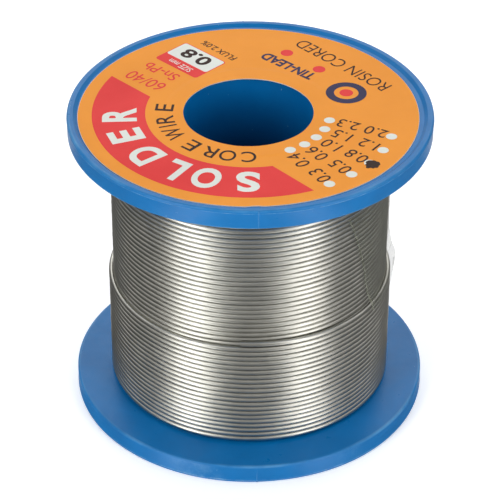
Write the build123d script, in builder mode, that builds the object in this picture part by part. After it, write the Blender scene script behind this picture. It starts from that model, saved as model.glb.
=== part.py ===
from build123d import *
from math import cos, radians, sin
import os

# Solder wire spool, standing upright on its lower flange. Millimetres, +Z up, origin at the centre
# of the lower flange's resting ring, the spool's axis on Z and the wire's cut end on the -Y side.

# ---- Driving dimensions -------------------------------------------------------------------------
flange_diameter = 53.0
spool_height = 47.8
bore_diameter = 19.4
barrel_diameter = 24.5
flange_thickness = 3.0
wire_diameter = 0.8
flux_diameter = 0.31
full_layers = 12
turns_in_full_layer = 51
turns_in_part_layer = 22

# Flange section: a shallow recess for the label inside a raised outer ring, with moulded roundings
face_recess = 0.4
recess_radius = 25.1
ring_inner_radius = 25.6
outer_edge_rounding = 0.3
inner_edge_rounding = 0.3
bore_edge_rounding = 0.3

# Printed label, stuck a little off centre
label_outer_radius = 24.65
label_hole_radius = 9.43
label_thickness = 0.12
label_offset = (-0.29, -0.28)
label_hole_shift = (0, 0.2)

# Winding: each layer's turns sit between the turns of the layer below
layer_pitch = 0.68
groove_depth = 0.25

# Last turn and the clear tape that holds it. Angles are about Z from +X, counter-clockwise from above
cut_end_angle = -93.4
last_turn_arc = 300.0
last_turn_clearance = 0.01
tape_cut_angle = -39.4
tape_cut_slant = 17.0
tape_torn_angle = 3.0
tape_thickness = 0.1
tape_width = 18.6
tape_overlap = 0.6
tape_bridge_height = 3.4
tape_clearance = 0.03

# ---- Sizes that follow --------------------------------------------------------------------------
flange_radius = flange_diameter / 2
bore_radius = bore_diameter / 2
barrel_radius = barrel_diameter / 2
wire_radius = wire_diameter / 2
winding_height = spool_height - 2 * flange_thickness
turn_pitch = winding_height / turns_in_full_layer
full_crest_radius = barrel_radius + full_layers * layer_pitch + wire_diameter - layer_pitch
part_crest_radius = full_crest_radius + layer_pitch
part_layer_top = flange_thickness + turns_in_part_layer * wire_diameter
last_turn_radius = full_crest_radius + wire_radius + last_turn_clearance
last_turn_height = part_layer_top + wire_radius + last_turn_clearance


def radial_plane(angle):
    """The half-plane through Z at this angle, with its x outward and its y upward."""
    return Plane(
        origin=(0, 0, 0),
        x_dir=(cos(radians(angle)), sin(radians(angle)), 0),
        z_dir=(sin(radians(angle)), -cos(radians(angle)), 0),
    )


def save(piece, name):
    """Labels a finished piece and writes it as parts/NAME.step."""
    piece.label = name
    export_step(piece, f"parts/{name}.step")


# ---- Spool: barrel and both flanges, moulded as one piece ---------------------------------------
with BuildPart() as spool_body:
    with BuildSketch(Plane.XZ) as half_section:
        with BuildLine():
            Polyline(
                (bore_radius, spool_height / 2),
                (bore_radius, face_recess),
                (recess_radius, face_recess),
                (ring_inner_radius, 0),
                (flange_radius, 0),
                (flange_radius, flange_thickness),
                (barrel_radius, flange_thickness),
                (barrel_radius, spool_height / 2),
            )
            mirror(about=Plane.XZ.offset(-spool_height / 2))
        make_face()
        rim_corners = half_section.vertices().group_by(Axis.X)[-1].sort_by(Axis.Y)
        fillet([rim_corners[0], rim_corners[-1]], outer_edge_rounding)
        inner_rim_corners = half_section.vertices().group_by(Axis.X)[-1].sort_by(Axis.Y)[1:-1]
        fillet(inner_rim_corners, inner_edge_rounding)
        bore_corners = half_section.vertices().group_by(Axis.X)[0]
        fillet(bore_corners, bore_edge_rounding)
    revolve(axis=Axis.Z)

# ---- Printed label ------------------------------------------------------------------------------
label_plane = Plane(origin=(*label_offset, spool_height - face_recess))
with BuildPart() as face_label:
    with BuildSketch(label_plane):
        Circle(label_outer_radius)
        with Locations(label_hole_shift):
            Circle(label_hole_radius, mode=Mode.SUBTRACT)
    extrude(amount=label_thickness)


# ---- Winding ------------------------------------------------------------------------------------
def plain_layer(number):
    """A layer hidden under the next one, as a ring as thick as the layers' pitch."""
    inner_radius = barrel_radius + (number - 1) * layer_pitch
    with BuildPart() as layer:
        with BuildSketch(Plane.XY.offset(flange_thickness)):
            Circle(inner_radius + layer_pitch)
            Circle(inner_radius, mode=Mode.SUBTRACT)
        extrude(amount=winding_height)
    return layer.part


def grooved_layer(inner_radius, crest_radius, turns, pitch):
    """A layer that shows: a ring with one rounded crest for each turn of wire."""
    groove_radius = crest_radius - groove_depth
    top = flange_thickness + turns * pitch
    with BuildPart() as layer:
        with BuildSketch(Plane.XZ):
            with BuildLine():
                for turn in range(turns):
                    start = flange_thickness + turn * pitch
                    ThreePointArc(
                        (groove_radius, start),
                        (crest_radius, start + pitch / 2),
                        (groove_radius, start + pitch),
                    )
                Polyline(
                    (groove_radius, top),
                    (inner_radius, top),
                    (inner_radius, flange_thickness),
                    (groove_radius, flange_thickness),
                )
            make_face()
        revolve(axis=Axis.Z)
    return layer.part


hidden_layers = [plain_layer(number) for number in range(1, full_layers)]
last_full_layer = grooved_layer(
    barrel_radius + (full_layers - 1) * layer_pitch,
    full_crest_radius,
    turns_in_full_layer,
    turn_pitch,
)
part_layer = grooved_layer(
    full_crest_radius, part_crest_radius, turns_in_part_layer, wire_diameter
)

# ---- Last turn with its cut end, and the flux inside it -----------------------------------------
end_plane = radial_plane(cut_end_angle)
with BuildPart() as wire_last_turn:
    with BuildSketch(end_plane):
        with Locations((last_turn_radius, last_turn_height)):
            Circle(wire_radius)
            Circle(flux_diameter / 2, mode=Mode.SUBTRACT)
    revolve(axis=Axis.Z, revolution_arc=last_turn_arc)

with BuildPart() as flux_core:
    with BuildSketch(end_plane):
        with Locations((last_turn_radius, last_turn_height)):
            Circle(flux_diameter / 2)
    revolve(axis=Axis.Z, revolution_arc=last_turn_arc)

# ---- Clear tape ---------------------------------------------------------------------------------
# It lies on the full layer, bridges the step and ends just below the last turn. One end is cut at a
# slant, and the other is torn off square.
tape_low_radius = full_crest_radius + tape_clearance
tape_high_radius = last_turn_radius + wire_radius + tape_clearance
tape_bottom = last_turn_height - tape_overlap
tape_top = tape_bottom + tape_width
tape_inner_line = [
    (tape_high_radius, tape_bottom),
    (tape_high_radius, last_turn_height + wire_radius),
    (tape_low_radius, last_turn_height + tape_bridge_height),
    (tape_low_radius, tape_top),
]
tape_outer_line = [(radius + tape_thickness, height) for radius, height in tape_inner_line]
tape_middle = (tape_bottom + tape_top) / 2
square_cut = radial_plane(tape_cut_angle)
slant = radians(tape_cut_slant)
slanted_cut = Plane(
    origin=(0, 0, tape_middle),
    x_dir=square_cut.x_dir,
    z_dir=square_cut.z_dir * -cos(slant) + Vector(0, 0, sin(slant)),
)
with BuildPart() as clear_tape:
    with BuildSketch(radial_plane(tape_cut_angle - tape_cut_slant)):
        with BuildLine():
            Polyline(*tape_inner_line, *reversed(tape_outer_line), close=True)
        make_face()
    revolve(axis=Axis.Z, revolution_arc=tape_torn_angle - tape_cut_angle + tape_cut_slant)
    split(bisect_by=slanted_cut, keep=Keep.TOP)

# ---- Files --------------------------------------------------------------------------------------
os.makedirs("parts", exist_ok=True)
save(spool_body.part, "spool_body")
save(face_label.part, "face_label")
for number, layer in enumerate([*hidden_layers, last_full_layer], start=1):
    save(layer, f"wire_layer_{number:02d}")
save(part_layer, "wire_part_layer")
save(wire_last_turn.part, "wire_last_turn")
save(flux_core.part, "flux_core")
save(clear_tape.part, "clear_tape")
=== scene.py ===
from math import cos, pi, radians, sin

import bpy
import bmesh
import numpy as np
from mathutils import Matrix, Vector, noise


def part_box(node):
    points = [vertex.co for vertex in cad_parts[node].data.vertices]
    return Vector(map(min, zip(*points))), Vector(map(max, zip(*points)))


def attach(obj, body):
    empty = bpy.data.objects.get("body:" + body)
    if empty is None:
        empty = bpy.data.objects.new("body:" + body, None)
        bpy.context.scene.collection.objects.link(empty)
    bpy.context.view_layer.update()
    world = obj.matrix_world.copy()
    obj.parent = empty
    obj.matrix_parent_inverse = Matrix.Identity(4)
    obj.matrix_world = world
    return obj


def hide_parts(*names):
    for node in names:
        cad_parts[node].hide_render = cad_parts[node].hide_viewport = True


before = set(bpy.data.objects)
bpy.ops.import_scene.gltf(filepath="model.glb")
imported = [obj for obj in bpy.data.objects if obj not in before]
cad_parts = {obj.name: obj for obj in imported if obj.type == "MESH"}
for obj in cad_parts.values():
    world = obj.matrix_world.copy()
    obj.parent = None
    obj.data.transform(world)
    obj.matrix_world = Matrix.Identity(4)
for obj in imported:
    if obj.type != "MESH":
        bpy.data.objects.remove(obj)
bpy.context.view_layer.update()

# Solder wire spool. Shapes are in millimetres until mesh_object() turns them into metres, which the
# frame, the materials, the floor and the camera use. Angles written here are in degrees round Z from
# +X, counter-clockwise seen from above, with the front at -90.
MM = 0.001

# ---- Sizes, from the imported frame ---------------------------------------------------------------
spool_low, spool_high = (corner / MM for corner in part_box("spool_body"))
flange_radius = spool_high.x
spool_height = spool_high.z
winding_low, winding_high = (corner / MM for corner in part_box("wire_layer_12"))
winding_bottom = winding_low.z
winding_top = winding_high.z
full_crest_radius = winding_high.x
label_low, label_high = (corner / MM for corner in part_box("face_label"))
label_centre = Vector(((label_low.x + label_high.x) / 2, (label_low.y + label_high.y) / 2))
label_radius = (label_high.x - label_low.x) / 2
label_floor = label_low.z
label_top = label_high.z
face_recess = spool_height - label_floor
last_turn_low, last_turn_high = (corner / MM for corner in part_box("wire_last_turn"))
wire_diameter = last_turn_high.z - last_turn_low.z
wire_radius = wire_diameter / 2
part_crest_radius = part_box("wire_part_layer")[1].x / MM
layer_pitch = part_crest_radius - full_crest_radius
full_layers = 12
barrel_radius = full_crest_radius - wire_diameter - (full_layers - 1) * layer_pitch
tape_low, tape_high = (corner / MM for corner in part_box("clear_tape"))

# ---- Details that the frame's boxes don't give --------------------------------------------------
bore_radius = 9.7
label_hole_radius = 9.43
label_hole_shift = 0.2
full_turn_pitch = 0.8135
full_start_angle = -30
part_turn_pitch = 0.834
part_turns = 21.51
cut_end_angle = -93.4
cut_end_height = 21.05
flux_radius = 0.155
parting_angles = (-87.4, 92.6)


# ---- Mesh helpers -------------------------------------------------------------------------------
def mesh_object(name, vertices, faces, material, smooth_below=40):
    """A mesh piece from vertices in millimetres, smooth except at edges sharper than an angle."""
    mesh = bpy.data.meshes.new(name)
    mesh.from_pydata((np.asarray(vertices) * MM).tolist(), [], faces)
    mesh.validate()
    mesh.materials.append(material)
    mesh.shade_smooth()
    mesh.set_sharp_from_angle(angle=radians(smooth_below))
    piece = bpy.data.objects.new(name, mesh)
    bpy.context.scene.collection.objects.link(piece)
    return piece


def belongs(piece, slot, *nodes):
    """Puts a piece on the spool and hides the CAD nodes it stands for; the slot argument is not used."""
    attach(piece, "root")
    if nodes:
        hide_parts(*nodes)
    return piece


def grid_faces(rows, columns, closed=True):
    """Quads between neighbouring points of a grid that is stored row after row."""
    faces = []
    for row in range(rows if closed else rows - 1):
        following = (row + 1) % rows
        for column in range(columns if closed else columns - 1):
            beside = (column + 1) % columns
            faces.append((
                row * columns + column,
                row * columns + beside,
                following * columns + beside,
                following * columns + column,
            ))
    return faces


def film_faces(rows, columns):
    """Faces of a thin solid whose outer grid of points is followed by its inner grid."""
    count = rows * columns
    outer = grid_faces(rows, columns, closed=False)
    inner = [tuple(index + count for index in reversed(face)) for face in outer]
    bottom = list(range(columns))
    right = [row * columns + columns - 1 for row in range(1, rows)]
    top = [(rows - 1) * columns + column for column in range(columns - 2, -1, -1)]
    left = [row * columns for row in range(rows - 2, 0, -1)]
    border = bottom + right + top + left
    sides = [
        (after, before, before + count, after + count)
        for before, after in zip(border, border[1:] + border[:1])
    ]
    return outer + inner + sides


def smooth_step(value):
    """0 below 0, 1 above 1, and a smooth rise between."""
    share = np.clip(value, 0, 1)
    return share * share * (3 - 2 * share)


def unevenness(x, y, z, amount):
    """A small, smooth and repeatable wander from place to place."""
    return noise.noise(Vector((x, y, z))) * amount


def round_corners(corners, steps=6):
    """Corners as (x, y, radius), closed. A corner with a radius becomes an arc of several points."""
    points = []
    for index, (x, y, radius) in enumerate(corners):
        here = Vector((x, y))
        if radius == 0:
            points.append(here)
            continue
        before = Vector(corners[index - 1][:2]) - here
        after = Vector(corners[(index + 1) % len(corners)][:2]) - here
        half = before.angle(after) / 2
        centre = here + (before.normalized() + after.normalized()).normalized() * (radius / sin(half))
        reach = radius / np.tan(half)
        start = here + before.normalized() * reach - centre
        turn = start.angle_signed(here + after.normalized() * reach - centre)
        for step in range(steps + 1):
            points.append(centre + Matrix.Rotation(-turn * step / steps, 2) @ start)
    return points


# ---- Node helpers -------------------------------------------------------------------------------
class Nodes:
    """Short calls that add nodes to a node tree. They take and return sockets."""

    def __init__(self, tree):
        self.tree = tree

    def link(self, source, target):
        self.tree.links.new(source, target)

    def math(self, operation, *values):
        """One step of arithmetic. Each value is a socket or a number."""
        node = self.tree.nodes.new("ShaderNodeMath")
        node.operation = operation
        for socket, value in zip(node.inputs, values):
            if isinstance(value, (int, float)):
                socket.default_value = value
            else:
                self.link(value, socket)
        return node.outputs["Value"]

    def product(self, first, second):
        return self.math("MULTIPLY", first, second)

    def distance(self, first, second):
        """How far apart two values are, without a sign."""
        return self.math("ABSOLUTE", self.math("SUBTRACT", first, second))

    def ranged(self, value, low, high, to_low=0.0, to_high=1.0, interpolation="LINEAR"):
        """A value carried from one range into another, and held at the ends."""
        node = self.tree.nodes.new("ShaderNodeMapRange")
        node.interpolation_type = interpolation
        node.inputs["From Min"].default_value = low
        node.inputs["From Max"].default_value = high
        node.inputs["To Min"].default_value = to_low
        node.inputs["To Max"].default_value = to_high
        self.link(value, node.inputs["Value"])
        return node.outputs["Result"]


class Shader(Nodes):
    """A material with one Principled shader and short calls for its sockets."""

    def __init__(self, name, **constants):
        self.material = bpy.data.materials.new(name)
        self.material.use_nodes = True
        super().__init__(self.material.node_tree)
        self.surface = self.tree.nodes["Principled BSDF"]
        self.place = self.tree.nodes.new("ShaderNodeTexCoord").outputs["Object"]
        for socket, value in constants.items():
            self.surface.inputs[socket.replace("_", " ")].default_value = value

    def stretched(self, scale, shift=(0, 0, 0)):
        """The object's own coordinates, scaled along each axis and then shifted."""
        mapping = self.tree.nodes.new("ShaderNodeMapping")
        mapping.inputs["Scale"].default_value = scale
        mapping.inputs["Location"].default_value = shift
        self.link(self.place, mapping.inputs["Vector"])
        return mapping.outputs["Vector"]

    def noise(self, scale, detail=4, roughness=0.55, stretch=(1, 1, 1)):
        """Noise with this many features in a metre."""
        node = self.tree.nodes.new("ShaderNodeTexNoise")
        node.inputs["Scale"].default_value = scale
        node.inputs["Detail"].default_value = detail
        node.inputs["Roughness"].default_value = roughness
        self.link(self.stretched(stretch), node.inputs["Vector"])
        return node.outputs["Fac"]

    def length(self, vector):
        node = self.tree.nodes.new("ShaderNodeVectorMath")
        node.operation = "LENGTH"
        self.link(vector, node.inputs[0])
        return node.outputs["Value"]

    def from_axis(self):
        """Distance from the spool's axis, in metres."""
        return self.length(self.stretched((1, 1, 0)))

    def from_mid_height(self):
        """Distance above or below the spool's middle, in metres."""
        return self.length(self.stretched((0, 0, 1), shift=(0, 0, -spool_height / 2 * MM)))

    def rising(self, distance, low, high):
        """0 below a distance and 1 above another. The two limits are in millimetres."""
        return self.ranged(distance, low * MM, high * MM)

    def falling(self, distance, low, high):
        """1 below a distance and 0 above another. The two limits are in millimetres."""
        return self.ranged(distance, low * MM, high * MM, 1, 0)

    def blended(self, share, first, second):
        """A colour between two, each a colour or a socket."""
        node = self.tree.nodes.new("ShaderNodeMix")
        node.data_type = "RGBA"
        self.link(share, node.inputs["Factor"])
        # The Mix node keeps its two colours after its floats and vectors
        for socket, colour in ((node.inputs[6], first), (node.inputs[7], second)):
            if isinstance(colour, tuple):
                socket.default_value = (*colour, 1)
            else:
                self.link(colour, socket)
        return node.outputs[2]

    def bump(self, heights):
        """Bumps from (height socket, depth in millimetres) pairs, one after another."""
        normal = None
        for height, depth in heights:
            node = self.tree.nodes.new("ShaderNodeBump")
            node.inputs["Distance"].default_value = depth * MM
            self.link(height, node.inputs["Height"])
            if normal:
                self.link(normal, node.inputs["Normal"])
            normal = node.outputs["Normal"]
        self.link(normal, self.surface.inputs["Normal"])

    def colour(self, socket):
        self.link(socket, self.surface.inputs["Base Color"])

    def roughness(self, socket):
        self.link(socket, self.surface.inputs["Roughness"])


# ---- Materials ----------------------------------------------------------------------------------
def rim_edges(shader):
    """Mask of the rim edges' wear and painted highlight: 1 along the four rounded edges of the two rims,
    and 0 elsewhere.
    """
    fade = 0.25
    half_thickness = winding_bottom / 2
    from_flange_middle = shader.distance(
        shader.from_mid_height(), (spool_height / 2 - half_thickness) * MM
    )
    edge_start = half_thickness - 0.4
    rim_start = flange_radius - 0.5
    at_edge = shader.rising(from_flange_middle, edge_start, edge_start + fade)
    at_rim = shader.rising(shader.from_axis(), rim_start, rim_start + fade)
    return shader.product(at_edge, at_rim)


def painted_bore_shade(shader):
    """Mask of the painted shade in the bore: 1 deep inside it, and 0 at its two mouths and outside it."""
    mouth_depth = 2
    dark_depth = 14
    half_height = spool_height / 2
    deep = shader.falling(
        shader.from_mid_height(), half_height - dark_depth, half_height - mouth_depth
    )
    inside = shader.falling(shader.from_axis(), bore_radius + 0.05, bore_radius + 0.3)
    return shader.product(deep, inside)


def worn_plastic_with_highlight(shader, body):
    """The body's colour with pale specks, a rubbed moulding line, and rim edges lightened by wear and a
    painted highlight.
    """
    speck_colour = (0.5, 0.66, 0.8)
    rubbed_colour = (0.3, 0.55, 0.76)
    worn_and_highlight_colour = (0.1, 0.31, 0.57)
    specks = shader.ranged(shader.noise(1700, detail=2, roughness=0.4), 0.775, 0.81, 0, 0.6)
    specked = shader.blended(specks, body, speck_colour)
    on_line = shader.rising(shader.from_axis(), flange_radius + 0.01, flange_radius + 0.05)
    rubbed = shader.ranged(shader.noise(420, detail=5, roughness=0.7), 0.42, 0.62, 0.1, 0.75)
    lined = shader.blended(shader.product(on_line, rubbed), specked, rubbed_colour)
    # Rim edges: lighter for wear, and a painted highlight where their rounding would catch the light
    wear_and_highlight = shader.ranged(shader.noise(70, detail=5, roughness=0.6), 0.46, 0.66, 0.1, 0.8)
    return shader.blended(shader.product(rim_edges(shader), wear_and_highlight), lined, worn_and_highlight_colour)


def make_blue_plastic():
    """Moulded polystyrene: semi-gloss, mottled, scratched, with rim edges lightened by wear and a painted
    highlight, and painted shade down the bore.
    """
    dark_blue = (0.0005, 0.14, 0.4)
    light_blue = (0.001, 0.165, 0.46)
    # Colour of the painted shade deep in the bore
    bore_shade_colour = (0.0, 0.025, 0.1)
    shader = Shader("blue_plastic", IOR=1.5, Specular_IOR_Level=0.3)
    mottle = shader.noise(180, detail=3)
    scratches = shader.noise(900, detail=6, stretch=(1, 1, 14))
    grain = shader.noise(5200, detail=2)
    body = shader.blended(shader.ranged(mottle, 0.3, 0.7), dark_blue, light_blue)
    # Painted shade darkens the colour deep down the bore
    shader.colour(shader.blended(painted_bore_shade(shader), worn_plastic_with_highlight(shader, body), bore_shade_colour))
    shader.roughness(shader.ranged(scratches, 0.3, 0.7, 0.27, 0.42))
    shader.bump([(mottle, 0.03), (scratches, 0.006), (grain, 0.003)])
    return shader.material


def make_wire():
    """Drawn tin-lead solder: a soft, slightly warm grey metal with draw marks and tarnish."""
    tarnished = (0.45, 0.445, 0.405)
    clean = (0.55, 0.54, 0.49)
    shader = Shader("solder_wire", Metallic=1.0)
    tarnish = shader.noise(260, detail=5)
    marks = shader.noise(700, detail=4, stretch=(1, 1, 7))
    shader.colour(shader.blended(shader.ranged(tarnish, 0.3, 0.7), tarnished, clean))
    shader.roughness(shader.ranged(marks, 0.3, 0.7, 0.3, 0.38))
    shader.bump([(marks, 0.004)])
    return shader.material


def make_flux():
    """Solid rosin: amber and a little cloudy."""
    dark_amber = (0.42, 0.2, 0.05)
    light_amber = (0.62, 0.36, 0.12)
    shader = Shader("flux", Roughness=0.25)
    cloud = shader.noise(3000, detail=3)
    shader.colour(shader.blended(cloud, dark_amber, light_amber))
    shader.bump([(cloud, 0.01)])
    return shader.material


def make_paper(name, dark, light, gloss=0.15, boss=False):
    """Printed, varnished paper: fibre grain, uneven ink, and maybe the moulded boss showing through."""
    boss_radius = 11.9
    boss_slope = 0.7
    boss_height = 0.05
    shader = Shader(name, Specular_IOR_Level=gloss)
    cloud = shader.noise(90, detail=3)
    fibres = shader.noise(3800, detail=5, stretch=(1, 2.5, 1))
    shader.colour(shader.blended(shader.ranged(cloud, 0.3, 0.7), dark, light))
    shader.roughness(shader.ranged(fibres, 0.3, 0.7, 0.34, 0.5))
    bumps = [(fibres, 0.004), (cloud, 0.08)]
    if boss:
        raised = shader.falling(shader.from_axis(), boss_radius, boss_radius + boss_slope)
        bumps.append((raised, boss_height))
    shader.bump(bumps)
    return shader.material


def make_tape():
    """Clear adhesive film, dull and slightly green against the metal, streaked along its length."""
    dark_streak = (0.12, 0.125, 0.095)
    light_streak = (0.19, 0.195, 0.155)
    shader = Shader("clear_tape", IOR=1.47, Alpha=0.15)
    streaks = shader.noise(1500, detail=5, stretch=(1, 1, 9))
    shader.colour(shader.blended(shader.ranged(streaks, 0.3, 0.7), dark_streak, light_streak))
    shader.roughness(shader.ranged(streaks, 0.3, 0.7, 0.3, 0.5))
    shader.bump([(streaks, 0.01)])
    return shader.material


def make_tape_edge_highlight():
    """The cut edge of the film, lighter and less clear than the film: a painted highlight for its glint, a
    little uneven.
    """
    # Painted highlight along the cut edge, from faint to strong
    thin = (0.16, 0.17, 0.12)
    strong_highlight = (0.36, 0.38, 0.3)
    shader = Shader("tape_edge_highlight", Roughness=0.5, Alpha=0.55)
    cloud = shader.noise(700, detail=4)
    shader.colour(shader.blended(shader.ranged(cloud, 0.35, 0.65), thin, strong_highlight))
    shader.bump([(cloud, 0.01)])
    return shader.material


def make_floor():
    """Plain pale board with a faint even glow, which fades out under and round the spool as a painted
    shadow.
    """
    painted_shadow_radius = 20
    painted_shadow_end_radius = 27
    shader = Shader("pale_floor", Roughness=0.8, Emission_Strength=0.37)
    shader.colour(shader.blended(shader.noise(8, detail=2), (0.9, 0.9, 0.9), (0.93, 0.93, 0.93)))
    # Painted shadow: the floor's glow fades out under the spool and just round it
    outside_painted_shadow = shader.rising(shader.from_axis(), painted_shadow_radius, painted_shadow_end_radius)
    glow = shader.blended(outside_painted_shadow, (0, 0, 0), (1, 1, 1))
    shader.link(glow, shader.surface.inputs["Emission Color"])
    return shader.material


blue_plastic = make_blue_plastic()
wire_metal = make_wire()
flux_resin = make_flux()
orange_paper = make_paper("label_orange", dark=(0.82, 0.285, 0.015), light=(0.88, 0.315, 0.022), boss=True)
bare_paper = make_paper("label_edge", dark=(0.80, 0.70, 0.58), light=(0.88, 0.79, 0.68))
red_ink = make_paper("ink_red", dark=(0.71, 0.022, 0.022), light=(0.78, 0.036, 0.034))
white_ink = make_paper("ink_white", dark=(0.70, 0.73, 0.68), light=(0.76, 0.79, 0.74))
black_ink = make_paper("ink_black", dark=(0.02, 0.008, 0.005), light=(0.035, 0.014, 0.009), gloss=0.1)
blue_ink = make_paper("ink_blue", dark=(0.018, 0.016, 0.06), light=(0.028, 0.027, 0.09), gloss=0.12)
tape_film = make_tape()
tape_edge_highlight = make_tape_edge_highlight()


# ---- Spool --------------------------------------------------------------------------------------
def spool_outline():
    """The moulding's half section as (radius, height), with a fine moulding line on each rim."""
    recess_radius = 25.1
    ring_radius = 25.6
    rounding = 0.3
    recess_rounding = 0.15
    ring_rounding = 0.1
    line_drop = 0.47
    line_width = 0.1
    line_height = 0.045
    half = [
        (bore_radius, face_recess, rounding),
        (recess_radius, face_recess, recess_rounding),
        (ring_radius, 0, ring_rounding),
        (flange_radius, 0, rounding),
        (flange_radius, line_drop - line_width, 0),
        (flange_radius + line_height, line_drop, 0),
        (flange_radius, line_drop + line_width, 0),
        (flange_radius, winding_bottom, rounding),
        (barrel_radius, winding_bottom, 0),
    ]
    upper = [(r, spool_height - z, radius) for r, z, radius in reversed(half)]
    return round_corners(half + upper)


def spool_angles():
    """Directions round the spool, with extra ones that shape the two parting lines."""
    even = np.linspace(-180, 180, 360, endpoint=False)
    across_line = (-0.45, -0.25, -0.12, 0, 0.12, 0.25, 0.45)
    fine = [angle + step for angle in parting_angles for step in across_line]
    return np.radians(np.unique(np.concatenate([even, fine])))


def rim_relief(angle, height):
    """How far a rim stands out: a slight waviness, and a ridge with flash at each parting line."""
    waviness = 0.03
    ridge_half_angle = 0.25
    ridge_height = 0.02
    flash_height = 0.1
    flash_length = 0.8
    nearness = min(abs(np.degrees(angle) - line) for line in parting_angles)
    ridge = max(0, 1 - nearness / ridge_half_angle)
    from_edge = min(height, spool_height - height)
    flash = flash_height * smooth_step(1 - from_edge / flash_length)
    wave = unevenness(cos(angle) * 2, sin(angle) * 2, height / 10, waviness)
    return (ridge_height + flash) * ridge + wave


def make_spool():
    """The revolved moulding. Each parting line is a fine ridge that ends in a nick of flash."""
    rim_depth = 0.5
    rim_fade = 0.3
    outline = spool_outline()
    angles = spool_angles()
    vertices = []
    for angle in angles:
        for radius, height in outline:
            on_rim = smooth_step((radius - flange_radius + rim_depth) / rim_fade)
            reach = radius + rim_relief(angle, height) * on_rim
            vertices.append((reach * cos(angle), reach * sin(angle), height))
    faces = grid_faces(len(angles), len(outline))
    return mesh_object("spool", vertices, faces, blue_plastic, smooth_below=35)


# ---- Wire ---------------------------------------------------------------------------------------
def layer_radius(number):
    """Distance of a layer's wire centre from the axis."""
    return barrel_radius + wire_radius + (number - 1) * layer_pitch


def helix(start_angle, start_height, turns, rise, radius, steps_per_turn):
    """Centre points (angle, radius, height) of turns that run clockwise seen from above."""
    count = int(round(turns * steps_per_turn)) + 1
    travelled = np.linspace(0, turns, count)
    angles = radians(start_angle) - 2 * pi * travelled
    heights = start_height + rise * travelled
    return np.stack([angles, np.full(count, float(radius)), heights], axis=1)


def loosened(path, offset, outward, upward):
    """The same path with a slight wander outward and upward, as winding leaves it."""
    around_scale = 1.6
    height_scale = 0.9
    second_wander = 9
    for point in path:
        x = cos(point[0]) * around_scale
        y = sin(point[0]) * around_scale
        z = point[2] * height_scale + offset
        point[1] += unevenness(x, y, z, outward)
        point[2] += unevenness(x + second_wander, y, z, upward)
    return path


def wire_tube(name, path, sides, material, radius, hole=0.0):
    """A round wire along (angle, radius, height) points, with flat cut ends and maybe a hole."""
    # The hole's ring runs the other way round, so that its faces look into the hole
    rings = [(radius, 1)] + ([(hole, -1)] if hole else [])
    angles, radii, heights = path.T
    outward = np.stack([np.cos(angles), np.sin(angles), np.zeros(len(path))], axis=1)
    centres = outward * radii[:, None]
    centres[:, 2] = heights
    circle = np.linspace(0, 2 * pi, sides, endpoint=False)
    around = np.concatenate([direction * circle for _, direction in rings])
    reach = np.concatenate([np.full(sides, ring_radius) for ring_radius, _ in rings])
    vertices = (
        centres[:, None, :]
        + outward[:, None, :] * (np.cos(around) * reach)[None, :, None]
        + np.array([0, 0, 1]) * (np.sin(around) * reach)[None, :, None]
    ).reshape(-1, 3)
    columns = len(around)
    faces = []
    for ring in range(len(rings)):
        for row in range(len(path) - 1):
            for side in range(sides):
                here = row * columns + ring * sides + side
                beside = row * columns + ring * sides + (side + 1) % sides
                faces.append((here, beside, beside + columns, here + columns))
    faces += wire_ends(sides, (len(path) - 1) * columns, hole)
    return mesh_object(name, vertices, faces, material, smooth_below=50)


def wire_ends(sides, last, hole):
    """The two flat ends of a wire, whose last ring of points starts at an index."""
    if not hole:
        return [tuple(reversed(range(sides))), tuple(last + side for side in range(sides))]
    faces = []
    for side in range(sides):
        beside = (side + 1) % sides
        inner = sides + (-side) % sides
        inner_beside = sides + (-beside) % sides
        faces.append((beside, side, inner, inner_beside))
        faces.append((last + side, last + beside, last + inner_beside, last + inner))
    return faces


def wound_layer(number):
    """One complete layer. Odd layers climb and even ones descend. Only the last one can be seen."""
    visible = number == full_layers
    sides = 12 if visible else 6
    steps_per_turn = 160 if visible else 60
    turns = (winding_top - winding_bottom - wire_diameter) / full_turn_pitch
    going_up = number % 2 == 1
    start_height = winding_bottom + wire_radius if going_up else winding_top - wire_radius
    rise = full_turn_pitch if going_up else -full_turn_pitch
    start_angle = full_start_angle - 360 * turns * (number - full_layers)
    path = helix(start_angle, start_height, turns, rise, layer_radius(number), steps_per_turn)
    if visible:
        loosened(path, offset=0, outward=0.03, upward=0.05)
    return wire_tube(f"wire_turns_{number:02d}", path, sides, wire_metal, wire_radius)


def part_layer_path(first_turn, last_turn, steps_per_turn):
    """Centre points of the part layer, counted in turns back from its cut end, which springs up.

    It climbs out of the layer below, and its first turns crowd against the lower flange.
    """
    springing_turns = 45 / 360
    spring_outward = 0.13
    spring_upward = 0.2
    climbing_turns = 35 / 360
    crowded_turns = 9
    turns = last_turn - first_turn
    start_height = cut_end_height - part_turn_pitch * last_turn
    start_angle = cut_end_angle + 360 * last_turn
    radius = layer_radius(full_layers + 1)
    path = helix(start_angle, start_height, turns, part_turn_pitch, radius, steps_per_turn)
    loosened(path, offset=50, outward=0.03, upward=0.04)
    before_end = np.linspace(last_turn, first_turn, len(path))
    sprung = smooth_step(1 - before_end / springing_turns)
    path[:, 1] += spring_outward * sprung
    path[:, 2] += spring_upward * sprung
    path[:, 1] -= layer_pitch * smooth_step((before_end - part_turns + climbing_turns) / climbing_turns)
    lowest_height = cut_end_height - part_turn_pitch * part_turns
    crowded = smooth_step((before_end - part_turns + crowded_turns) / crowded_turns)
    path[:, 2] += (winding_bottom + wire_radius - lowest_height) * crowded
    return path


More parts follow.
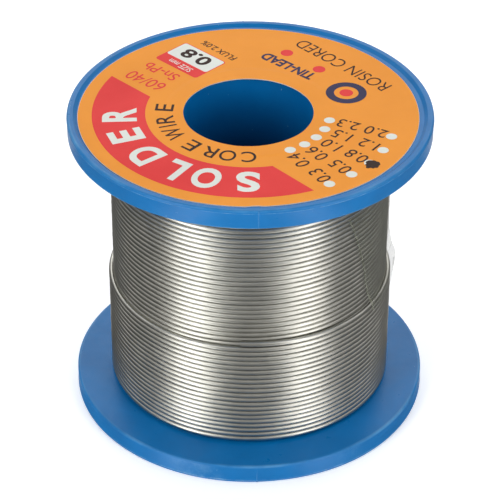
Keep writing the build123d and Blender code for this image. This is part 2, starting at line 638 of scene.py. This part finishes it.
def make_part_layer():
    """The plain turns, then the last five sixths of a turn, hollow, with the flux inside it."""
    end_turn = 5 / 6
    flux_setback = 0.0005
    flux_gap = 0.003
    plain_path = part_layer_path(end_turn, part_turns, steps_per_turn=240)
    hollow_path = part_layer_path(0, end_turn, steps_per_turn=360)
    flux_path = part_layer_path(flux_setback, end_turn, steps_per_turn=360)
    plain = wire_tube("wire_part_turns", plain_path, 12, wire_metal, wire_radius)
    hollow = wire_tube("wire_end_turn", hollow_path, 20, wire_metal, wire_radius, hole=flux_radius)
    flux = wire_tube("flux", flux_path, 12, flux_resin, flux_radius - flux_gap)
    belongs(plain, "solder_wire", "wire_part_layer")
    belongs(hollow, "solder_wire", "wire_last_turn")
    belongs(flux, "flux", "flux_core")


# ---- Clear tape ---------------------------------------------------------------------------------
def tape_left(height):
    """Angle of the scissor-cut edge, which leans back towards the top and bows a little."""
    lowest_angle = -32.0
    lean_per_mm = 0.8
    bow = 2.2
    climbed = height - tape_low.z
    straight = lowest_angle - lean_per_mm * climbed
    bowed = bow * sin(pi * climbed / (tape_high.z - tape_low.z))
    return straight + bowed + unevenness(height / 3, 0, 4, 1.0)


def tape_right(height):
    """Angle of the torn edge, with the teeth that a tape cutter leaves."""
    torn_angle = 2.5
    tooth_pitch = 1.0
    tooth_depth = 1.8
    along = height / tooth_pitch + unevenness(height / 2, 0, 8, 0.8)
    tooth = abs(2 * (along % 1) - 1)
    return torn_angle + tooth_depth * tooth + unevenness(height / 2.5, 3, 8, 2.0)


def tape_lift(angle, height):
    """How far the torn end stands loose from the wire."""
    least = 0.06
    most = 0.6
    loosest_height = 24.0
    spread = 2.8
    loose_angle = 11
    loose = least + most * np.exp(-((height - loosest_height) / spread) ** 2)
    from_tear = tape_right(height) - angle
    return loose * smooth_step(1 - from_tear / loose_angle) ** 1.5


def tape_bulge(angle, height):
    """How far the tape stands out over the last turn, towards its torn end."""
    depth = 0.22
    middle_height = 22.8
    reach = 2.2
    start_angle = -30
    growing_angle = 20
    by_height = smooth_step(1 - abs(height - middle_height) / reach)
    return depth * by_height * smooth_step((angle - start_angle) / growing_angle)


def tape_radius(angle, height):
    """It lies on the last turn, bridges the step to the full layer and then follows the crests."""
    clearance = 0.05
    bridge_height = 3.4
    groove_sag = 0.03
    last_turn_crest = part_crest_radius + 0.2
    step_foot = cut_end_height + bridge_height
    bridged = smooth_step((step_foot - height) / (step_foot - cut_end_height - wire_radius))
    crest = full_crest_radius + (last_turn_crest - full_crest_radius) * bridged
    sag = groove_sag * cos(2 * pi * height / full_turn_pitch) * (1 - bridged)
    crease = unevenness(angle / 9, height / 5, 2, 0.04)
    return crest + clearance + sag + crease + tape_lift(angle, height) + tape_bulge(angle, height)


def tape_strip(name, left_edge, right_edge, columns, thickness, material):
    """A film between two edges that are given as angles by height."""
    rows = 150
    outer = []
    inner = []
    for height in np.linspace(tape_low.z, tape_high.z, rows):
        for angle in np.linspace(left_edge(height), right_edge(height), columns):
            radius = tape_radius(angle, height)
            direction = Vector((cos(radians(angle)), sin(radians(angle)), 0))
            outer.append((*(direction * (radius + thickness)).xy, height))
            inner.append((*(direction * radius).xy, height))
    piece = mesh_object(name, outer + inner, film_faces(rows, columns), material, smooth_below=60)
    return belongs(piece, "clear_tape", "clear_tape")


def make_tape_pieces():
    """The clear film, and its scissor-cut edge, whose glint is a painted highlight."""
    film_thickness = 0.04
    edge_thickness = 0.06
    edge_width = 0.45

    def edge_left(height):
        return tape_left(height) - edge_width

    tape_strip("tape", tape_left, tape_right, 64, film_thickness, tape_film)
    tape_strip("tape_cut_edge", edge_left, tape_left, 3, edge_thickness, tape_edge_highlight)


# ---- Label --------------------------------------------------------------------------------------
def label_edge_radius(angle):
    """The paper's outer edge is slightly uneven and has a small dent at the front."""
    dent_angle = -87.5
    dent_half_angle = 3.5
    dent_depth = 0.16
    waviness = 0.05
    dent = dent_depth * smooth_step(1 - abs(np.degrees(angle) - dent_angle) / dent_half_angle)
    return label_radius - dent + unevenness(cos(angle) * 3, sin(angle) * 3, 7, waviness)


def label_ring(name, inset, low, high, material):
    """The whole label, or a thin layer of it drawn in from the outer edge by an inset."""
    hole_waviness = 0.08
    angles = np.radians(np.linspace(-180, 180, 360, endpoint=False))
    vertices = []
    for angle in angles:
        wave = unevenness(cos(angle) * 3, sin(angle) * 3, 2, hole_waviness)
        hole = (label_hole_radius + wave, label_hole_shift)
        rim = (label_edge_radius(angle) - inset, 0)
        for (radius, shift), height in ((rim, high), (hole, high), (hole, low), (rim, low)):
            vertices.append((
                label_centre.x + radius * cos(angle),
                label_centre.y + radius * sin(angle) + shift,
                height,
            ))
    return mesh_object(name, vertices, grid_faces(len(angles), 4), material, smooth_below=35)


# ---- Printing on the label ----------------------------------------------------------------------
face_inset = 0.04
face_thickness = 0.01
ink_thickness = 0.012
ink_bed = label_top + ink_thickness
print_centre = label_centre + Vector((0, 0.13))


def polar(radius, angle):
    """A point on the label from the middle of its printing."""
    return Vector((radius * cos(radians(angle)), radius * sin(radians(angle))))


def ink_solid(points, faces, level=0):
    """A thin closed solid of ink over flat faces on the label, as (vertices, faces)."""
    bed = ink_bed + level * ink_thickness
    count = len(points)
    vertices = [
        (print_centre.x + point[0], print_centre.y + point[1], bed + rise)
        for rise in (0, ink_thickness)
        for point in points
    ]
    edges = {(face[index - 1], face[index]): None for face in faces for index in range(len(face))}
    sides = [(a, b, b + count, a + count) for a, b in edges if (b, a) not in edges]
    below = [tuple(reversed(face)) for face in faces]
    above = [tuple(index + count for index in face) for face in faces]
    return vertices, below + above + sides


def outlined(points, level=0):
    """Ink inside one counter-clockwise outline."""
    return ink_solid(points, [tuple(range(len(points)))], level)


def disc(centre, radius, level=0, roughness=0.0):
    """A round dot, or a ragged blot."""
    steps = 40
    outline = []
    for step in range(steps):
        angle = 360 * step / steps
        reach = radius * (1 + unevenness(2 * cos(radians(angle)), 2 * sin(radians(angle)), 5, roughness))
        outline.append(centre + polar(reach, angle))
    return outlined(outline, level)


def band(middle_angle, inner, outer, inner_half, outer_half, level=0, centre=Vector((0, 0))):
    """Part of a ring between two radii, with its own spread of angles on each."""
    steps = 90
    shares = np.linspace(-1, 1, steps)
    points = [centre + polar(outer, middle_angle + outer_half * share) for share in shares]
    points += [centre + polar(inner, middle_angle + inner_half * share) for share in shares]
    faces = [(index, index + 1, steps + index + 1, steps + index) for index in range(steps - 1)]
    return ink_solid(points, faces, level)


def block(middle, direction, length, height, level=0, corner=0.0):
    """A rectangle of ink, which reads towards a direction in degrees."""
    turn = Matrix.Rotation(radians(direction), 2)
    signs = ((-1, -1), (1, -1), (1, 1), (-1, 1))
    outline = round_corners([(x * length / 2, y * height / 2, corner) for x, y in signs])
    return outlined([middle + turn @ point for point in outline], level)


def letters_mesh(text, weight):
    """Flat letters with their baseline on X, as a bmesh that the caller frees."""
    merge_distance = 1e-5
    curve = bpy.data.curves.new("letters", "FONT")
    curve.body = text
    curve.offset = weight
    curve.resolution_u = 6
    curve.align_x = "CENTER"
    holder = bpy.data.objects.new("letters", curve)
    mesh = bpy.data.meshes.new_from_object(holder)
    flat = bmesh.new()
    flat.from_mesh(mesh)
    bmesh.ops.remove_doubles(flat, verts=flat.verts, dist=merge_distance)
    flat.verts.index_update()
    bpy.data.objects.remove(holder)
    bpy.data.meshes.remove(mesh)
    return flat


def extent(flat, axis):
    """Lowest and highest place of a bmesh along an axis."""
    places = [vertex.co[axis] for vertex in flat.verts]
    return min(places), max(places)


def capital_height(weight):
    flat = letters_mesh("H", weight)
    low, high = extent(flat, 1)
    flat.free()
    return high - low


def lettering(text, middle, direction, height, weight=0.0, length=None, width=1.0, level=0):
    """Letters centred on a point of the label, squeezed to a length or by a width."""
    flat = letters_mesh(text, weight)
    scale = height / capital_height(weight)
    left, right = extent(flat, 0)
    stretch = length / (right - left) if length else width * scale
    turn = Matrix.Rotation(radians(direction), 2)
    points = []
    for vertex in flat.verts:
        across = (vertex.co.x - (left + right) / 2) * stretch
        points.append(middle + turn @ Vector((across, vertex.co.y * scale - height / 2)))
    faces = []
    for face in flat.faces:
        indices = tuple(vertex.index for vertex in face.verts)
        faces.append(indices if face.normal.z > 0 else tuple(reversed(indices)))
    flat.free()
    return ink_solid(points, faces, level)


def arc_lettering(letters, radius, height, weight, level=0):
    """Letters, each with its angle and width, clockwise round the label with their tops outward."""
    return [
        lettering(letter, polar(radius, angle), angle - 90, height, weight, length=width, level=level)
        for letter, angle, width in letters
    ]


def printed(name, shapes, material):
    """All the shapes of one ink as one piece."""
    vertices = []
    faces = []
    for shape_vertices, shape_faces in shapes:
        start = len(vertices)
        vertices += shape_vertices
        faces += [tuple(start + index for index in face) for face in shape_faces]
    return belongs(mesh_object(name, vertices, faces, material, smooth_below=1), "label_paper")


def print_words():
    """The large word on its red panel and the line inside it."""
    panel = band(middle_angle=223.6, inner=14.9, outer=22.6, inner_half=59.6, outer_half=70.0)
    # Each letter with its angle on the label and its width
    solder = (("S", 270, 3.3), ("O", 252, 4.1), ("L", 236.7, 2.9))
    solder += (("D", 219.3, 3.9), ("E", 201.1, 3.2), ("R", 183.3, 3.7))
    core = (("C", 270.5, 2.1), ("O", 256.4, 2.4), ("R", 243.5, 2.1), ("E", 229.0, 1.9))
    wire = (("W", 209.7, 3.0), ("I", 199.2, 0.3), ("R", 190.6, 2.1), ("E", 174.8, 1.9))
    word = arc_lettering(solder, radius=18.85, height=5.0, weight=0.035, level=1)
    line = arc_lettering(core + wire, radius=12.2, height=2.65, weight=0.004)
    return [panel], word, line


def print_size_box():
    """The boxed size: a red frame and heading round a white field with a black number."""
    direction = 135.7
    length = 8.65
    height = 6.5
    field_height = 4.1
    frame_line = 0.14
    middle = Vector((-8.69, 14.83))
    up = polar(1, direction + 90)
    field_middle = middle - up * (height / 2 - frame_line - field_height / 2)
    heading_middle = middle + up * (field_height + 2 * frame_line) / 2
    field_length = length - 2 * frame_line
    red = block(middle, direction, length, height, corner=0.5)
    field = block(field_middle, direction, field_length, field_height, level=1, corner=0.4)
    heading = lettering("SIZE mm", heading_middle, direction, height=1.15, length=4.6, level=1)
    number = lettering("0.8", field_middle, direction, height=2.5, weight=0.03, length=5.2, level=2)
    return [red], [field, heading], [number]


def size_row(sizes, dots_from, dots_to, numbers_from, numbers_to):
    """Tick dots with a wire size beside each, from one (radius, angle) place to another."""
    middle_angle = -38
    middle_direction = 137
    turning_share = 0.7
    dots = []
    numbers = []
    for share, size in zip(np.linspace(0, 1, len(sizes)), sizes):
        dot_place = np.add(dots_from, np.subtract(dots_to, dots_from) * share)
        dots.append(disc(polar(*dot_place), radius=0.8))
        radius, angle = np.add(numbers_from, np.subtract(numbers_to, numbers_from) * share)
        # The numbers turn less than the row does
        direction = middle_direction + turning_share * (angle - middle_angle)
        numbers.append(lettering(size, polar(radius, angle), direction, height=2.1, width=0.95))
    return dots, numbers


def print_sizes():
    """The two rows of wire sizes, and the blot that marks this spool's size."""
    inner_dots, inner_numbers = size_row(
        ("2.3", "1.5", "1.0", "0.6", "0.4"),
        dots_from=(11.87, -10.9),
        dots_to=(11.87, -60.1),
        numbers_from=(14.75, -13.4),
        numbers_to=(14.75, -61.4),
    )
    outer_dots, outer_numbers = size_row(
        ("2.0", "1.2", "0.8", "0.5", "0.3"),
        dots_from=(21.4, -17.9),
        dots_to=(22.1, -59.5),
        numbers_from=(18.95, -16.3),
        numbers_to=(19.6, -59.5),
    )
    blot = disc(polar(22.35, -38.9), radius=1.05, level=1, roughness=0.5)
    return inner_dots + outer_dots, inner_numbers + outer_numbers, [blot]


def print_small_lines():
    """The alloy and flux lines, a plain pictogram of cored wire, and two plain dots."""
    pictogram = Vector((14.3, 5.5))
    red = [
        lettering("60/40", Vector((-15.2, 8.73)), 141, height=2.3, length=6.7),
        lettering("Sn-Pb", Vector((-13.0, 11.44)), 139, height=2.0, weight=0.005, length=6.2),
        disc(Vector((5.73, 17.15)), radius=0.95),
        disc(Vector((10.47, 12.3)), radius=0.95),
        disc(pictogram, radius=1.0),
    ]
    black = [
        lettering("FLUX 2.0%", Vector((-4.53, 17.76)), 133.4, height=1.2, weight=0.01, length=7.1),
        lettering("ROSIN CORED", Vector((13.97, 13.65)), 133, height=2.3, weight=-0.005, length=18.6),
    ]
    blue = [
        lettering("TIN-LEAD", Vector((5.8, 13.15)), 138, height=2.0, weight=0.035, length=9.9),
        band(middle_angle=0, inner=1.8, outer=3.0, inner_half=180, outer_half=180, centre=pictogram),
    ]
    return red, black, blue


def print_label():
    """Each colour of ink is one piece."""
    panel, word, line = print_words()
    box_red, box_white, box_number = print_size_box()
    dots, numbers, blot = print_sizes()
    small_red, small_black, small_blue = print_small_lines()
    printed("print_red", panel + box_red + small_red, red_ink)
    printed("print_white", word + box_white + dots, white_ink)
    printed("print_black", line + box_number + numbers + blot + small_black, black_ink)
    printed("print_blue", small_blue, blue_ink)


# ---- The object ---------------------------------------------------------------------------------
belongs(make_spool(), "blue_plastic", "spool_body")
belongs(label_ring("label", 0, label_floor, label_top, bare_paper), "label_paper", "face_label")
face_top = label_top + face_thickness
belongs(label_ring("label_face", face_inset, label_top, face_top, orange_paper), "label_paper")
for number in range(1, full_layers + 1):
    belongs(wound_layer(number), "solder_wire", f"wire_layer_{number:02d}")
make_part_layer()
make_tape_pieces()
print_label()


# ---- Floor, light and camera --------------------------------------------------------------------
def make_floor_piece():
    """A wide flat floor. The object's own gloss reflects the studio, not the floor."""
    half_width = 3
    mesh = bpy.data.meshes.new("floor")
    flat = bmesh.new()
    bmesh.ops.create_grid(flat, x_segments=4, y_segments=4, size=half_width)
    flat.to_mesh(mesh)
    flat.free()
    mesh.materials.append(make_floor())
    floor = bpy.data.objects.new("floor", mesh)
    bpy.context.scene.collection.objects.link(floor)
    floor.visible_glossy = False


class Studio(Nodes):
    """Surroundings of a dim room: soft upright panels, and a pale ceiling lit towards the back."""

    ambient = 0.11
    background_glow = 1.0
    # Heights are the upward part of a direction: 0 at the horizon and 1 straight up
    ceiling_height = 0.7
    ceiling_full = 0.1
    ceiling_end = 0.36
    panel_full_height = 0.78
    panel_end_height = 0.93
    # Each is: azimuth from the front in degrees, half width at full glow, half width where it ends, glow
    ceiling = (180, 50, 150, 1.0)
    panels = (
        (-45.5, 4, 18, 4.4),
        (45.5, 5, 18.5, 3.3),
        (180, 20, 32, 1.0),
        (0, 25, 75, 0.19),
        (120, 25, 60, 0.06),
    )

    def __init__(self):
        self.world = bpy.data.worlds.new("studio")
        self.world.use_nodes = True
        super().__init__(self.world.node_tree)
        place = self.tree.nodes.new("ShaderNodeTexCoord").outputs["Generated"]
        direction = self.tree.nodes.new("ShaderNodeSeparateXYZ")
        self.link(place, direction.inputs[0])
        east, north, up = direction.outputs
        azimuth = self.math("ARCTAN2", east, self.product(north, -1))
        from_ceiling = self.distance(up, self.ceiling_height)
        overhead = self.fade(from_ceiling, self.ceiling_full, self.ceiling_end, 1)
        below_top = self.fade(up, self.panel_full_height, self.panel_end_height, 1)
        ceiling_glow = self.product(overhead, self.upright(azimuth, *self.ceiling))
        glow = self.math("ADD", ceiling_glow, self.ambient)
        for panel in self.panels:
            panel_glow = self.product(self.upright(azimuth, *panel), below_top)
            glow = self.math("ADD", panel_glow, glow)
        self.light(glow)

    def fade(self, value, near, far, glow):
        """Glow where the value is under near, falling smoothly to none at far."""
        return self.ranged(value, near, far, glow, 0, interpolation="SMOOTHSTEP")

    def upright(self, azimuth, middle, full, end, glow):
        """Glow round one direction, for all heights, from angles in degrees."""
        turned = self.math("SUBTRACT", azimuth, radians(middle))
        away = self.math("ARCCOSINE", self.math("COSINE", turned))
        return self.fade(away, radians(full), radians(end), glow)

    def light(self, glow):
        """Lights the scene with the glow, and shows a plain white backdrop to the camera."""
        seen = self.tree.nodes.new("ShaderNodeLightPath").outputs["Is Camera Ray"]
        strength = self.tree.nodes.new("ShaderNodeMix")
        self.link(seen, strength.inputs["Factor"])
        self.link(glow, strength.inputs[2])
        strength.inputs[3].default_value = self.background_glow
        background = self.tree.nodes["Background"]
        background.inputs["Color"].default_value = (1, 1, 1, 1)
        self.link(strength.outputs[0], background.inputs["Strength"])


def make_camera():
    """The viewpoint: 34.5 degrees above the horizon, straight in front, with a long lens."""
    look_down = 34.544
    roll = 0.279
    place = (0.00004, -0.28964, 0.2226)
    data = bpy.data.cameras.new("camera")
    data.lens = 168.4
    camera = bpy.data.objects.new("camera", data)
    camera.matrix_world = (
        Matrix.Translation(place)
        @ Matrix.Rotation(radians(90 - look_down), 4, "X")
        @ Matrix.Rotation(radians(roll), 4, "Z")
    )
    bpy.context.scene.collection.objects.link(camera)
    bpy.context.scene.camera = camera


make_floor_piece()
bpy.context.scene.world = Studio().world
bpy.context.scene.view_settings.view_transform = "Standard"
make_camera()
